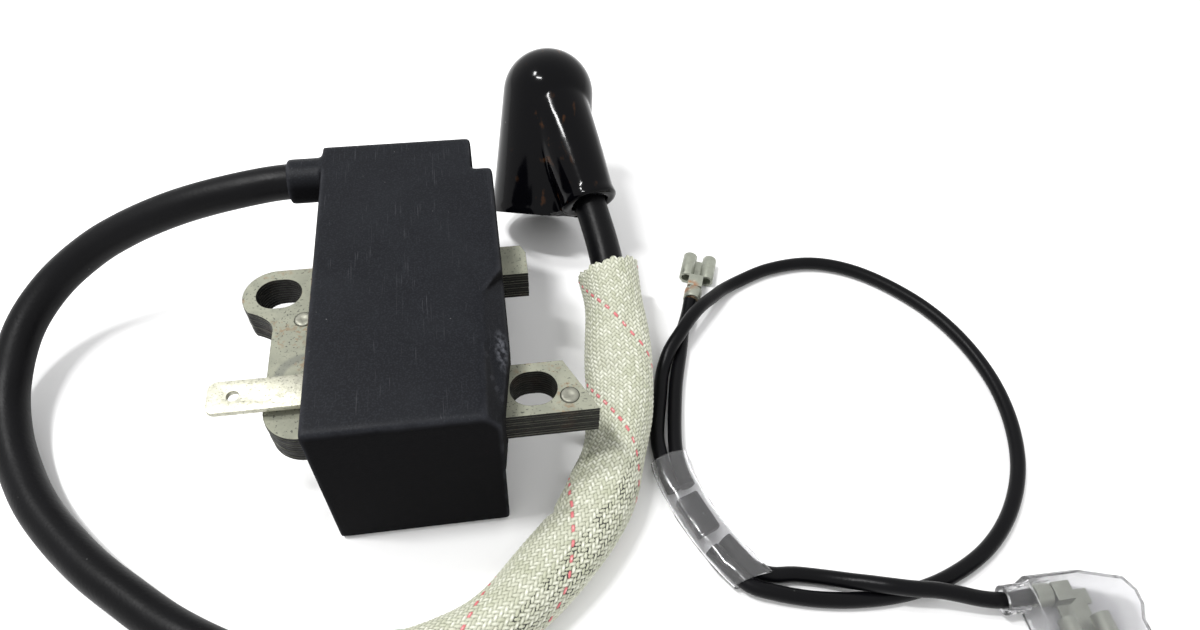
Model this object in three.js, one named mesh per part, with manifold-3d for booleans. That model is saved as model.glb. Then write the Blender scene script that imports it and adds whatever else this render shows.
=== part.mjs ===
// Ignition coil of a small two-stroke engine, in millimetres, +Z up.
//
// The potted case lies on its flat bottom. +X points from the open, lead side of the case to the
// pole faces of the core, and +Y runs along the case. Everything is placed from the case's corner;
// add() then moves it, so that the origin is the bottom centre of the coil without its leads.

import * as THREE from 'three';
import { ConvexGeometry } from 'three/addons/geometries/ConvexGeometry.js';
import { mergeVertices } from 'three/addons/utils/BufferGeometryUtils.js';
import Module from 'manifold-3d';

const wasm = await Module();
wasm.setup();

// ---------------------------------------------------------------- driving dimensions

const gap = 0.3;            // clearance between neighbouring solids
const fineGap = 0.05;       // clearance of a riveted or wound fit

// case
const caseWidth = 25.5;
const caseLength = 52.6;
const caseHeight = 27;
const caseWall = 1.6;
const caseRoof = 2.2;
const caseRound = 0.8;
const notchWidth = 3;
const notchLength = 7.2;
const slantWidth = 1.9;     // how far the front end of the pole side falls back
const slantLength = 12.5;
const shoulderWidth = 3.3;  // sloping shoulder along the top of the pole side
const shoulderDrop = 2.3;
const shoulderLength = 19.4;
const shoulderEnd = 24.3;   // where its slanting end reaches the side wall
const shoulderStart = 21.8; // its upper edge at the front
const lowerWall = { x: 23.5, y: 14, top: 13.8 };   // the wall below the near leg stands back

// laminated core
const coreTop = 20.27;
const coreThickness = 5.2;
const nearLeg = { front: 4.2, back: 12.45 };
const farLeg = { front: 28.75, back: 34.5 };
const yokeOuter = -6.35;
const yokeInner = 1.65;
const yokeBack = 33.2;
const poleTip = 36.35;      // nearest corner of the slanting pole face
const poleHeel = 32.4;      // its farther corner
const farPole = 29.3;
const farPoleChamfer = { x: 0.75, y: 1.5 };
const cornerRadius = 4.8;
const earRadius = 4.6;
const earNeck = { x: -9.5, y: 25.1 };
const earRoot = 22.3;
const screwRadius = 2.65;   // M5 clearance
const slotHalf = 0.5;       // half the extra length of a mounting slot
const lugScrew = { x: 28.1, y: 8.35 };
const earScrew = { x: -6.03, y: 28.73 };
const rivetRadius = 1.22;
const rivetProud = 0.15;
const poleRivet = { x: 32.7, y: 6.7 };
const earRivet = { x: -2.3, y: 23.6 };
const legRivet = { x: 11.5, y: 8.3 };

// stop-switch tab
const tabThickness = 0.8;
const tabTop = 22.15;
const tabTip = -12.85;
const tabEdges = { front: 8, back: 12.8 };
const tabRound = 1.1;
const tabHole = { x: -9.65, y: 10.4, radius: 0.78 };
const tabArm = { step: 0.35, sink: 0.12, from: 4.2, to: 8.2, back: 15.4 };   // the part inside the case

// potting resin
const resinFace = 0.5;
const resinDepth = 3.4;

// HT lead and the boss it leaves the case by
const leadRadius = 2.7;
const boss = { y: 48.6, z: 23.5, radius: 3.4, tip: -5.4, bore: 2.82, socket: 9 };
const leadStart = 8.7;
const sleeveOuter = 4.7;
const sleeveInner = 3.6;

// ignition transformer on the far leg
const coilStart = 5;
const coilEnd = 22.4;
const chambers = 4;
const primary = { bore: 4.15, tube: 4.65, flange: 5.45, winding: 5.3 };
const secondary = { bore: 5.65, tube: 6.05, flange: 6.9, winding: 6.75 };
const flangeThickness = 0.8;

// electronics
const board = { x0: 3.9, x1: 20.2, y0: 2.4, y1: 43.5, z0: 6, z1: 7.2 };
const legHole = 0.6;
const legRadius = 0.32;

// plug boot
const bootDome = new THREE.Vector3(36.72, 69.7, 21.43);
const bootMouth = new THREE.Vector3(33.55, 55.5, 6.05);
const bootTubeRoot = new THREE.Vector3(36.6, 70, 23.3);
const bootTubeEnd = new THREE.Vector3(41.5, 49, 13.8);
const domeRadius = 7.9;
const mouthRadius = 8.6;
const tubeRadius = { end: 4.7, base: 5.65 };
const leadBore = { radius: 3, end: 9 };
const springBore = { radius: 4.7, from: 6.8, to: 15.8 };
const mouthBore = { radius: 6.5, from: 14.8 };
const leadEnd = 15;
const spring = { radius: 3.8, wire: 0.42, from: 10.1, to: 16.2, turns: 4 };

// stop lead
const wireRadius = 1.1;
const splice = { halfWidth: 2.95, halfHeight: 1.65, wall: 0.28, axis: 1.75 };
const spliceBlock = { length: 6.4, width: 3.5, height: 1.7 };
const metal = 0.4;          // sheet thickness of the terminals
const cover = { top: 5.2, wall: 0.6, neck: 1.95, bore: 1.35 };

// ---------------------------------------------------------------- routes of the flexible pieces

const leadRoute = [
  [leadStart, boss.y, boss.z], [1, boss.y, boss.z], [-6.5, boss.y, boss.z],
  [-13, 48, 23], [-20.4, 47.5, 21.6],
  [-25.6, 47.2, 20], [-30.9, 46.6, 18], [-36.2, 45.4, 15.6], [-42.6, 42.1, 12], [-46.7, 36.4, 8.9],
  [-48, 28.1, 5.9], [-46.6, 20.5, 4.2], [-44.1, 14.5, 3.3], [-41, 9.2, 3], [-37.1, 4.3, 2.75],
  [-31.8, -1.2, 2.75], [-27, -5.3, 2.75], [-19.8, -10.9, 2.75], [-9.5, -16.7, 2.9],
  [0.5, -20, 3.8], [10.5, -20.2, 4.8], [19.1, -17, 4.8], [27.3, -11.2, 4.8], [34.4, -3.9, 4.8],
  [38.3, 1.8, 4.8], [41.1, 11.2, 4.9], [42.3, 20, 5.6], [42.9, 28.9, 7.3], [43, 38.8, 10.2],
];
const sleeveRoute = [[8, -20.4, 4.6], ...leadRoute.slice(-9, -1), [42.95, 37.7, 9.85]];

const tailRoute = [
  [57.55, 36.1, 1.65], [56.6, 33.6, 1.2], [55.1, 30.2, 1.15], [53.9, 26.3, 1.15], [51.7, 19.5, 1.15],
  [50.4, 14.3, 1.2], [49.4, 9.6, 1.5], [48.95, 6.2, 1.75], [49.05, 3.6, 1.75], [49.55, 1.1, 1.75],
];
const loopRoute = [
  [47.38, 0.6, 1.75], [46.8, 3.4, 1.75], [46.6, 6.2, 1.75], [46.7, 9.6, 1.5], [47.5, 13.2, 1.2],
  [48.6, 17.2, 1.15], [50, 22.1, 1.4], [51.6, 25.1, 2.7], [53.8, 27.7, 3.6], [56.3, 30.7, 3.8],
  [58.7, 33.2, 3.5], [61.2, 35.5, 2.6], [64, 38, 1.6], [67.3, 39.9, 1.15], [73.2, 42.1, 1.15],
  [80.5, 42.8, 1.15], [86, 41.4, 1.15], [91.6, 37.9, 1.15], [98.2, 30.6, 1.15], [102, 22.6, 1.15],
  [103.6, 13.7, 1.15], [102.9, 5.5, 1.15], [100.2, -2.3, 1.15], [95.5, -9, 1.15], [89.7, -13.8, 1.15],
  [82.5, -17, 1.15], [75.8, -18.3, 1.15], [69, -18.3, 1.15], [64.1, -17.6, 1.15], [60.8, -16.8, 1.25],
  [57.9, -15.9, 1.5], [54.9, -14.6, 1.7], [53, -12.3, 1.75], [50.8, -8.9, 1.75],
];
const endRoute = [
  [52.9, -7.7, 1.75], [54.6, -10.5, 1.75], [55.8, -12.3, 1.75], [58.2, -13.4, 1.4], [61.5, -13.7, 1.15],
  [65.5, -14.7, 1.2], [68.9, -16, 2], [71, -17, 3], [73.1, -17.9, 3.7], [76, -18.7, 3.8], [79.2, -19.3, 3.7],
  [82.2, -20.1, 3.3], [85.1, -20.9, 2.8], [87.8, -21.4, 2.6], [91, -21.45, 2.6], [94.6, -21.45, 2.6],
];
const spliceRoute = [
  [47.7, 6, 0], [47.9, 3.6, 0], [48.7, 0.1, 0], [50.2, -4.3, 0], [52.1, -8.4, 0], [54, -11.7, 0],
  [54.9, -13, 0],
].map(([x, y]) => [x, y, splice.axis]);

const flagOutline = [
  [91, -19.2], [98.7, -19.3], [104.6, -21], [105.7, -23], [105.6, -25], [104.6, -27], [104.4, -37.2],
  [91.2, -37.2], [90.9, -24],
];

// ---------------------------------------------------------------- helpers

function solidOf(geometry) {
  const bare = geometry.clone();
  bare.deleteAttribute('normal');
  bare.deleteAttribute('uv');
  const merged = mergeVertices(bare, 1e-5);
  const mesh = new wasm.Mesh({
    numProp: 3,
    vertProperties: new Float32Array(merged.attributes.position.array),
    triVerts: new Uint32Array(merged.index.array),
  });
  return new wasm.Manifold(mesh);
}

function geometryOf(solid) {
  const mesh = solid.getMesh();
  const geometry = new THREE.BufferGeometry();
  geometry.setAttribute('position', new THREE.BufferAttribute(new Float32Array(mesh.vertProperties), 3));
  geometry.setIndex(new THREE.BufferAttribute(new Uint32Array(mesh.triVerts), 1));
  geometry.computeVertexNormals();
  return geometry;
}

const join = (...solids) => solids.reduce((whole, next) => whole.add(next));
const cut = (whole, ...tools) => tools.reduce((rest, tool) => rest.subtract(tool), whole);
const vector = (p) => new THREE.Vector3(...p);

function block(x0, x1, y0, y1, z0, z1) {
  const geometry = new THREE.BoxGeometry(x1 - x0, y1 - y0, z1 - z0);
  geometry.translate((x0 + x1) / 2, (y0 + y1) / 2, (z0 + z1) / 2);
  return solidOf(geometry);
}

function polygon(points) {
  return new THREE.Shape(points.map(([x, y]) => new THREE.Vector2(x, y)));
}

function plate(shape, z0, z1, curveSegments = 10) {
  const geometry = new THREE.ExtrudeGeometry(shape, { depth: z1 - z0, bevelEnabled: false, curveSegments });
  geometry.translate(0, 0, z0);
  return solidOf(geometry);
}

// A plate with rounded upper and lower edges; the outline keeps its size.
function cushion(shape, z0, z1, round, segments = 3) {
  const geometry = new THREE.ExtrudeGeometry(shape, {
    depth: z1 - z0 - 2 * round,
    bevelThickness: round,
    bevelSize: round,
    bevelOffset: -round,
    bevelSegments: segments,
  });
  geometry.translate(0, 0, z0 + round);
  return solidOf(geometry);
}

// The shape is drawn in the X-Z plane and runs from y0 to y1.
function runAlongY(shape, y0, y1, curveSegments = 8) {
  const geometry = new THREE.ExtrudeGeometry(shape, { depth: y1 - y0, bevelEnabled: false, curveSegments });
  geometry.rotateX(Math.PI / 2);
  geometry.translate(0, y1, 0);
  return solidOf(geometry);
}

function rod(from, to, radius, endRadius = radius, segments = 24) {
  const along = new THREE.Vector3().subVectors(to, from);
  const geometry = new THREE.CylinderGeometry(endRadius, radius, along.length(), segments);
  geometry.translate(0, along.length() / 2, 0);
  geometry.applyQuaternion(
    new THREE.Quaternion().setFromUnitVectors(new THREE.Vector3(0, 1, 0), along.clone().normalize()),
  );
  geometry.translate(from.x, from.y, from.z);
  return solidOf(geometry);
}

const post = (x, y, radius, z0, z1, segments = 24) => (
  rod(vector([x, y, z0]), vector([x, y, z1]), radius, radius, segments)
);

// Turned about the X axis through y, z; the profile lists [radius, x].
function turned(profile, y, z, segments = 24) {
  const geometry = new THREE.LatheGeometry(profile.map(([r, x]) => new THREE.Vector2(r, x)), segments);
  geometry.rotateZ(-Math.PI / 2);
  geometry.translate(0, y, z);
  return solidOf(geometry);
}

function ring(halfHeight, halfWidth, sides) {
  const corners = [];
  for (let i = 0; i < sides; i += 1) {
    const angle = (i / sides) * Math.PI * 2;
    corners.push(new THREE.Vector2(halfHeight * Math.cos(angle), halfWidth * Math.sin(angle)));
  }
  return corners;
}

function sweep(shape, route, spacing) {
  const path = new THREE.CatmullRomCurve3(route.map(vector), false, 'centripetal');
  const steps = Math.max(4, Math.round(path.getLength() / spacing));
  return solidOf(new THREE.ExtrudeGeometry(shape, { steps, bevelEnabled: false, extrudePath: path }));
}

const wire = (route, radius, sides, spacing) => (
  sweep(new THREE.Shape(ring(radius, radius, sides)), route, spacing)
);

function hose(route, halfHeight, halfWidth, wall, sides, spacing) {
  const shape = new THREE.Shape(ring(halfHeight, halfWidth, sides));
  shape.holes.push(new THREE.Path(ring(halfHeight - wall, halfWidth - wall, sides)));
  return sweep(shape, route, spacing);
}

const finish = (color, roughness, metalness) => ({ color, roughness, metalness });
const finishes = {
  caseBlack: finish(0x26282c, 0.62, 0),
  resin: finish(0x2b2118, 0.4, 0),
  steel: finish(0x8f8f7e, 0.5, 0.85),
  rivetSteel: finish(0xb9b8ae, 0.38, 0.9),
  tin: finish(0xc9c9c0, 0.35, 0.9),
  copper: finish(0xb4622a, 0.35, 0.9),
  bobbin: finish(0x3a3a36, 0.55, 0),
  board: finish(0x2f5d35, 0.55, 0),
  part: finish(0x1b1b1b, 0.45, 0),
  beige: finish(0xc8b183, 0.5, 0),
  brass: finish(0xb68a3c, 0.35, 0.9),
  cable: finish(0x151517, 0.5, 0),
  glass: finish(0xdfe0d0, 0.8, 0),
  rubber: finish(0x0b0b0d, 0.18, 0),
  clear: finish(0xdad9d4, 0.25, 0),
};

const coil = new THREE.Group();

function add(name, solid, look) {
  const geometry = geometryOf(solid);
  geometry.translate(-(tabTip + poleTip) / 2, -caseLength / 2, 0);
  const mesh = new THREE.Mesh(geometry, new THREE.MeshStandardMaterial(look));
  mesh.name = name;
  coil.add(mesh);
}

// ---------------------------------------------------------------- case and potting

const coreBottom = coreTop - coreThickness;
const coilAxis = { y: (farLeg.front + farLeg.back) / 2, z: coreTop - coreThickness / 2 };

// The plan of the case, drawn in by an inset and open-ended towards -X.
function casePlan(inset, start) {
  const right = caseWidth - inset;
  const back = caseLength - inset;
  return polygon([
    [start, inset], [right - slantWidth, inset], [right, slantLength], [right, back - notchLength],
    [right - notchWidth, back - notchLength], [right - notchWidth, back], [start, back],
  ]);
}

// The space round the core, with clearance.
function coreRoom() {
  const low = coreBottom - gap;
  const high = coreTop + gap;
  const end = poleTip + 1;
  return join(
    block(yokeOuter - 1, yokeInner + gap, nearLeg.front - gap, farLeg.back + gap, low, high),
    block(0, end, nearLeg.front - gap, nearLeg.back + gap, low, high),
    block(0, end, farLeg.front - gap, farLeg.back + gap, low, high),
  );
}

// The space inside the case; its floor side keeps the wall's thickness where the outer wall stands back.
function caseRoom() {
  const { x, y, top } = lowerWall;
  const inner = x - caseWall;
  const ledge = polygon([
    [inner, -1], [caseWidth, -1], [caseWidth, shoulderEnd + 2], [caseWidth - caseWall, shoulderEnd + 2],
    [inner, y + 0.8],
  ]);
  return cut(
    plate(casePlan(caseWall, -6), caseWall, caseHeight - caseRoof),
    plate(ledge, -1, top + caseWall),
  );
}

function setBack() {
  const { x, y, top } = lowerWall;
  const far = caseWidth + 2;
  const outline = polygon([[x, -2], [far, -2], [far, shoulderEnd], [caseWidth, shoulderEnd], [x, y]]);
  return plate(outline, -1, top);
}

// The front part of the shoulder follows the slanting wall.
function shoulderFront() {
  const start = caseWidth - shoulderWidth;
  const low = caseHeight - shoulderDrop;
  const a = vector([shoulderStart - 0.05, -1, caseHeight]);
  const b = vector([start, slantLength, caseHeight]);
  const c = vector([caseWidth, slantLength, low]);
  const d = vector([caseWidth - slantWidth - 0.15, -1, low]);
  const past = (from, to) => to.clone().addScaledVector(new THREE.Vector3().subVectors(to, from), 0.5);
  const floor = [a, b, past(b, c), past(a, d)];
  const roof = floor.map((p) => new THREE.Vector3(p.x, p.y, caseHeight + 2));
  return solidOf(new ConvexGeometry([...floor, ...roof]));
}

function shoulder() {
  const start = caseWidth - shoulderWidth;
  const slope = shoulderDrop / shoulderWidth;
  const profile = polygon([
    [start, caseHeight], [caseWidth + 1, caseHeight - slope * (shoulderWidth + 1)],
    [caseWidth + 1, caseHeight + 1], [start, caseHeight + 1],
  ]);
  const plan = polygon([
    [start - 1, slantLength], [caseWidth + 2, slantLength], [caseWidth + 2, shoulderEnd + 3],
    [caseWidth, shoulderEnd], [start, shoulderLength], [start - 1, shoulderLength],
  ]);
  return runAlongY(profile, -1, caseLength - 10).intersect(plate(plan, 0, caseHeight + 2));
}

const socketFront = boss.y - boss.radius;
const socket = block(0, boss.socket, socketFront, caseLength - 1, boss.z - boss.radius, caseHeight - 1);
const bossTip = vector([boss.tip, boss.y, boss.z]);

add('case_shell', cut(
  join(
    cut(
      cushion(casePlan(0, -5), 0, caseHeight, caseRound),
      block(-10, 0, -1, caseLength + 1, -1, caseHeight + 1),
      caseRoom(),
      setBack(),
      shoulder(),
      shoulderFront(),
    ),
    socket,
    rod(bossTip, vector([1, boss.y, boss.z]), boss.radius, boss.radius, 32),
  ),
  rod(vector([boss.tip - 1, boss.y, boss.z]), vector([boss.socket + 1, boss.y, boss.z]), boss.bore),
  coreRoom(),
), finishes.caseBlack);

const inset = caseWall + gap;
add('potting_resin', cut(
  block(resinFace, resinDepth, inset, caseLength - inset, inset, caseHeight - caseRoof - gap),
  coreRoom(),
  block(-1, 5, tabEdges.front - gap, tabEdges.back + gap, tabTop - tabThickness - gap, tabTop + gap),
  block(-1, 5, boss.y - boss.radius - gap, caseLength, boss.z - boss.radius - gap, caseHeight),
), finishes.resin);

// ---------------------------------------------------------------- core, rivets and tab

function screwSlot(centre) {
  const slot = new THREE.Shape();
  slot.absarc(centre.x + slotHalf, centre.y, screwRadius, -Math.PI / 2, Math.PI / 2, false);
  slot.absarc(centre.x - slotHalf, centre.y, screwRadius, Math.PI / 2, Math.PI * 1.5, false);
  slot.closePath();
  return plate(slot, coreBottom - 1, coreTop + 1, 12);
}

function coreOutline() {
  const shape = new THREE.Shape();
  shape.moveTo(yokeOuter + cornerRadius, nearLeg.front);
  shape.lineTo(poleTip, nearLeg.front);
  shape.lineTo(poleHeel, nearLeg.back);
  shape.lineTo(yokeInner, nearLeg.back);
  shape.lineTo(yokeInner, farLeg.front);
  shape.lineTo(farPole, farLeg.front);
  shape.lineTo(farPole, farLeg.back - farPoleChamfer.y);
  shape.lineTo(farPole - farPoleChamfer.x, farLeg.back);
  shape.lineTo(yokeInner, farLeg.back);
  shape.lineTo(yokeInner, yokeBack);
  shape.lineTo(earScrew.x, yokeBack);
  shape.absarc(earScrew.x - 0.4, yokeBack - earRadius, earRadius, Math.PI / 2, Math.PI * 1.22, false);
  shape.quadraticCurveTo(yokeOuter - 0.2, earNeck.y - 0.9, yokeOuter, earRoot);
  shape.lineTo(yokeOuter, nearLeg.front + cornerRadius);
  const corner = [yokeOuter + cornerRadius, nearLeg.front + cornerRadius];
  shape.absarc(...corner, cornerRadius, Math.PI, Math.PI * 1.5, false);
  return shape;
}

const rivetHoles = [poleRivet, earRivet, legRivet].map(({ x, y }) => (
  post(x, y, rivetRadius + fineGap, coreBottom - 1, coreTop + 1, 20)
));
add('laminated_core', cut(
  plate(coreOutline(), coreBottom, coreTop, 14),
  screwSlot(lugScrew),
  screwSlot(earScrew),
  ...rivetHoles,
), finishes.steel);

const strapTop = coreTop + gap + 0.5;
for (const [name, place] of [['pole_rivet', poleRivet], ['ear_rivet', earRivet]]) {
  const rivet = post(place.x, place.y, rivetRadius, coreBottom - rivetProud, coreTop + rivetProud, 20);
  add(name, rivet, finishes.rivetSteel);
}
add('leg_rivet', join(
  post(legRivet.x, legRivet.y, rivetRadius, coreBottom - rivetProud, strapTop + gap + 0.1, 20),
  post(legRivet.x, legRivet.y, 2, strapTop + gap, strapTop + gap + 0.6, 20),
), finishes.rivetSteel);

function tabPlan() {
  const { front, back } = tabEdges;
  const shape = new THREE.Shape();
  shape.moveTo(tabTip + tabRound, front);
  shape.lineTo(tabArm.step, front);
  shape.lineTo(tabArm.step, back);
  shape.lineTo(tabTip + tabRound, back);
  shape.absarc(tabTip + tabRound, back - tabRound, tabRound, Math.PI / 2, Math.PI, false);
  shape.absarc(tabTip + tabRound, front + tabRound, tabRound, Math.PI, Math.PI * 1.5, false);
  return shape;
}

const armTop = tabTop - tabArm.sink;
add('stop_switch_tab', cut(
  join(
    plate(tabPlan(), tabTop - tabThickness, tabTop, 6),
    block(tabArm.step - 0.1, tabArm.to, tabEdges.front, tabEdges.back, tabTop - tabThickness, armTop),
    block(tabArm.from, tabArm.to, tabEdges.front, tabArm.back, tabTop - tabThickness, armTop),
    block(tabArm.from, tabArm.to, tabArm.back - tabThickness, tabArm.back, board.z1 + gap, armTop),
  ),
  post(tabHole.x, tabHole.y, tabHole.radius, tabTop - 2, tabTop + 1, 16),
), finishes.tin);

// ---------------------------------------------------------------- ignition transformer

// A bobbin with flanges at its ends and between its chambers.
function bobbin(sizes, count) {
  const pitch = (coilEnd - coilStart - flangeThickness) / count;
  const profile = [[sizes.bore, coilStart], [sizes.flange, coilStart]];
  for (let i = 0; i < count; i += 1) {
    const left = coilStart + i * pitch + flangeThickness;
    const right = coilStart + (i + 1) * pitch;
    profile.push([sizes.flange, left], [sizes.tube, left], [sizes.tube, right], [sizes.flange, right]);
  }
  profile.push([sizes.flange, coilEnd], [sizes.bore, coilEnd], [sizes.bore, coilStart]);
  return turned(profile, coilAxis.y, coilAxis.z);
}

function windingIn(sizes, count, index) {
  const pitch = (coilEnd - coilStart - flangeThickness) / count;
  const left = coilStart + index * pitch + flangeThickness + fineGap;
  const right = coilStart + (index + 1) * pitch - fineGap;
  const inner = sizes.tube + fineGap;
  const outer = sizes.winding;
  const profile = [[inner, left], [outer, left], [outer, right], [inner, right], [inner, left]];
  return turned(profile, coilAxis.y, coilAxis.z);
}

add('primary_bobbin', bobbin(primary, 1), finishes.bobbin);
add('primary_winding', windingIn(primary, 1, 0), finishes.copper);
add('secondary_bobbin', bobbin(secondary, chambers), finishes.bobbin);
for (let i = 0; i < chambers; i += 1) {
  add(`secondary_winding_${i + 1}`, windingIn(secondary, chambers, i), finishes.copper);
}

add('ht_contact_pin', wire([
  [leadStart - 3.6, boss.y, boss.z], [leadStart + 0.6, boss.y, boss.z],
  [leadStart + 2.4, boss.y - 0.9, boss.z - 0.9],
  [13.2, 44, 19.6], [13.6, 41.2, 18], [13.6, coilAxis.y + secondary.winding + 0.6, coilAxis.z],
], 0.45, 8, 1.4), finishes.brass);

// ---------------------------------------------------------------- electronics

const thyristor = { x: 13, y: 6.2 };
const transistor = { x0: 9.6, x1: 19.4, y0: 16.4, y1: 25 };
const diode = { x: 6.2, y: 20.4 };
const resistor = { x: 6.4, y: 31 };
const legPlaces = [
  [thyristor.x - 1.6, thyristor.y], [thyristor.x, thyristor.y], [thyristor.x + 1.6, thyristor.y],
  [transistor.x0 - 1.2, 18.2], [transistor.x0 - 1.2, 20.7], [transistor.x0 - 1.2, 23.2],
  [diode.x, diode.y - 3.2], [diode.x, diode.y + 3.2],
  [resistor.x, resistor.y - 4.4], [resistor.x, resistor.y + 4.4],
];
add('circuit_board', cut(
  block(board.x0, board.x1, board.y0, board.y1, board.z0, board.z1),
  ...legPlaces.map(([x, y]) => post(x, y, legHole, board.z0 - 1, board.z1 + 1, 8)),
), finishes.board);

const legEnd = board.z0 - 0.7;
const leg = (place, top) => post(place[0], place[1], legRadius, legEnd, top, 8);

function thyristorBody() {
  const shape = new THREE.Shape();
  shape.absarc(thyristor.x, thyristor.y, 2.4, -0.7, Math.PI + 0.7, false);
  shape.closePath();
  return plate(shape, board.z1 + 2, board.z1 + 6.6, 6);
}

add('trigger_thyristor', join(
  thyristorBody(),
  ...legPlaces.slice(0, 3).map((place) => leg(place, board.z1 + 3)),
), finishes.part);

const bodyLow = board.z1 + gap;
add('switching_transistor', join(
  block(transistor.x0, transistor.x1, transistor.y0, transistor.y1, bodyLow, bodyLow + 4.3),
  ...legPlaces.slice(3, 6).map((place) => leg(place, bodyLow + 2.1)),
  ...legPlaces.slice(3, 6).map(([x, y]) => (
    block(x - 0.32, transistor.x0 + 0.5, y - 0.32, y + 0.32, bodyLow + 1.6, bodyLow + 2.2)
  )),
), finishes.part);

function axialPart(centre, radius, halfLength, halfSpan) {
  const z = board.z1 + gap + radius;
  const at = (dy) => vector([centre.x, centre.y + dy, z]);
  return join(
    rod(at(-halfLength), at(halfLength), radius, radius, 16),
    rod(at(-halfSpan - legRadius), at(halfSpan + legRadius), legRadius, legRadius, 8),
    leg([centre.x, centre.y - halfSpan], z),
    leg([centre.x, centre.y + halfSpan], z),
  );
}

add('diode', axialPart(diode, 1.3, 2.2, 3.2), finishes.part);
add('resistor', axialPart(resistor, 1.1, 3.1, 4.4), finishes.beige);

const strapLow = coreTop + gap;
add('earth_strap', cut(
  join(
    block(legRivet.x - 2, legRivet.x + 2, 5.6, nearLeg.back + 0.9, strapLow, strapTop),
    block(legRivet.x - 2, legRivet.x + 2, nearLeg.back + 0.4, nearLeg.back + 0.9, bodyLow, strapTop),
  ),
  post(legRivet.x, legRivet.y, rivetRadius + 0.15, strapLow - 1, strapTop + 1, 16),
), finishes.tin);

// ---------------------------------------------------------------- plug boot and its terminal

const tubeAxis = new THREE.Vector3().subVectors(bootTubeEnd, bootTubeRoot);
const tubeLength = tubeAxis.length();
tubeAxis.normalize();
const bodyAxis = new THREE.Vector3().subVectors(bootMouth, bootDome);
const bodyLength = bodyAxis.length();
bodyAxis.normalize();
const onTube = (t) => bootTubeRoot.clone().addScaledVector(tubeAxis, t);
const onBody = (t) => bootDome.clone().addScaledVector(bodyAxis, t);

const dome = new THREE.SphereGeometry(domeRadius, 28, 18);
dome.applyQuaternion(new THREE.Quaternion().setFromUnitVectors(new THREE.Vector3(0, 1, 0), bodyAxis));
dome.translate(bootDome.x, bootDome.y, bootDome.z);
add('plug_boot', cut(
  join(
    solidOf(dome),
    rod(bootTubeEnd, bootTubeRoot, tubeRadius.end, tubeRadius.base),
    rod(bootDome, bootMouth, domeRadius - 0.02, mouthRadius, 28),
  ),
  rod(onTube(leadBore.end), onTube(tubeLength + 1), leadBore.radius),
  rod(onBody(springBore.from), onBody(springBore.to), springBore.radius),
  rod(onBody(mouthBore.from), onBody(bodyLength + 1), mouthBore.radius),
), finishes.rubber);

function springRoute() {
  const side = tubeAxis.clone().addScaledVector(bodyAxis, -tubeAxis.dot(bodyAxis)).normalize();
  const across = new THREE.Vector3().crossVectors(bodyAxis, side);
  const points = [onTube(leadEnd - 0.9), onTube(leadEnd - 1.9).addScaledVector(side, -1)];
  const count = spring.turns * 10;
  for (let i = 0; i <= count; i += 1) {
    const angle = (i / 10) * Math.PI * 2 + 0.45;
    const t = spring.from + (spring.to - spring.from) * (i / count);
    points.push(onBody(t)
      .addScaledVector(side, spring.radius * Math.cos(angle))
      .addScaledVector(across, spring.radius * Math.sin(angle)));
  }
  return points.map((p) => [p.x, p.y, p.z]);
}

add('spring_terminal', wire(springRoute(), spring.wire, 6, 1.9), finishes.tin);

// ---------------------------------------------------------------- HT lead and its sleeve

const leadStops = [tubeLength + 1.5, tubeLength - 3, leadEnd];
leadRoute.push(...leadStops.map((t) => onTube(t).toArray()));
add('ht_lead', cut(
  wire(leadRoute, leadRadius, 12, 7.5),
  rod(vector([leadStart - 4.2, boss.y, boss.z]), vector([leadStart + 1, boss.y, boss.z]), 0.75, 0.75, 10),
), finishes.cable);
const sleeveHose = hose(sleeveRoute, sleeveOuter, sleeveOuter, sleeveOuter - sleeveInner, 12, 6);
add('glass_sleeve', sleeveHose, finishes.glass);

// ---------------------------------------------------------------- stop lead

add('stop_wire_tail', wire(tailRoute, wireRadius, 8, 2.6), finishes.cable);
add('stop_wire_loop', wire(loopRoute, wireRadius, 8, 3.4), finishes.cable);
add('stop_wire_end', wire(endRoute, wireRadius, 8, 2.6), finishes.cable);
const spliceHose = hose(spliceRoute, splice.halfHeight, splice.halfWidth, splice.wall, 16, 1.8);
add('splice_sleeve', spliceHose, finishes.clear);

const spliceCentre = vector([50, -3.6, splice.axis]);
const spliceTurn = Math.atan2(-4.4, 1.62);
const crimp = new THREE.BoxGeometry(spliceBlock.length, spliceBlock.width, spliceBlock.height);
crimp.rotateZ(spliceTurn);
crimp.translate(spliceCentre.x, spliceCentre.y, spliceCentre.z);
add('splice_crimp', solidOf(crimp), finishes.tin);

// One rolled side of a receptacle, drawn in the X-Z plane; sign is +1 for the right side.
function rolledSide(halfWidth, radius, sign) {
  const centre = { x: halfWidth - radius, z: radius };
  const steps = 10;
  const points = [];
  for (let pass = 0; pass < 2; pass += 1) {
    for (let i = 0; i <= steps; i += 1) {
      const share = pass === 0 ? i / steps : 1 - i / steps;
      const angle = THREE.MathUtils.degToRad(-100 + 290 * share);
      const r = pass === 0 ? radius : radius - metal;
      points.push([sign * (centre.x + r * Math.cos(angle)), centre.z + r * Math.sin(angle)]);
    }
  }
  return sign > 0 ? points : points.reverse();
}

// A push-on receptacle that lies on z = 0, mouth at y = 0, rolled sides towards -Y.
function pushOn(width, radius, length) {
  const half = width / 2;
  return join(
    block(radius - half, half - radius, -length, 0, 0, metal),
    runAlongY(polygon(rolledSide(half, radius, 1)), -length, 0),
    runAlongY(polygon(rolledSide(half, radius, -1)), -length, 0),
  );
}

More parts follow.
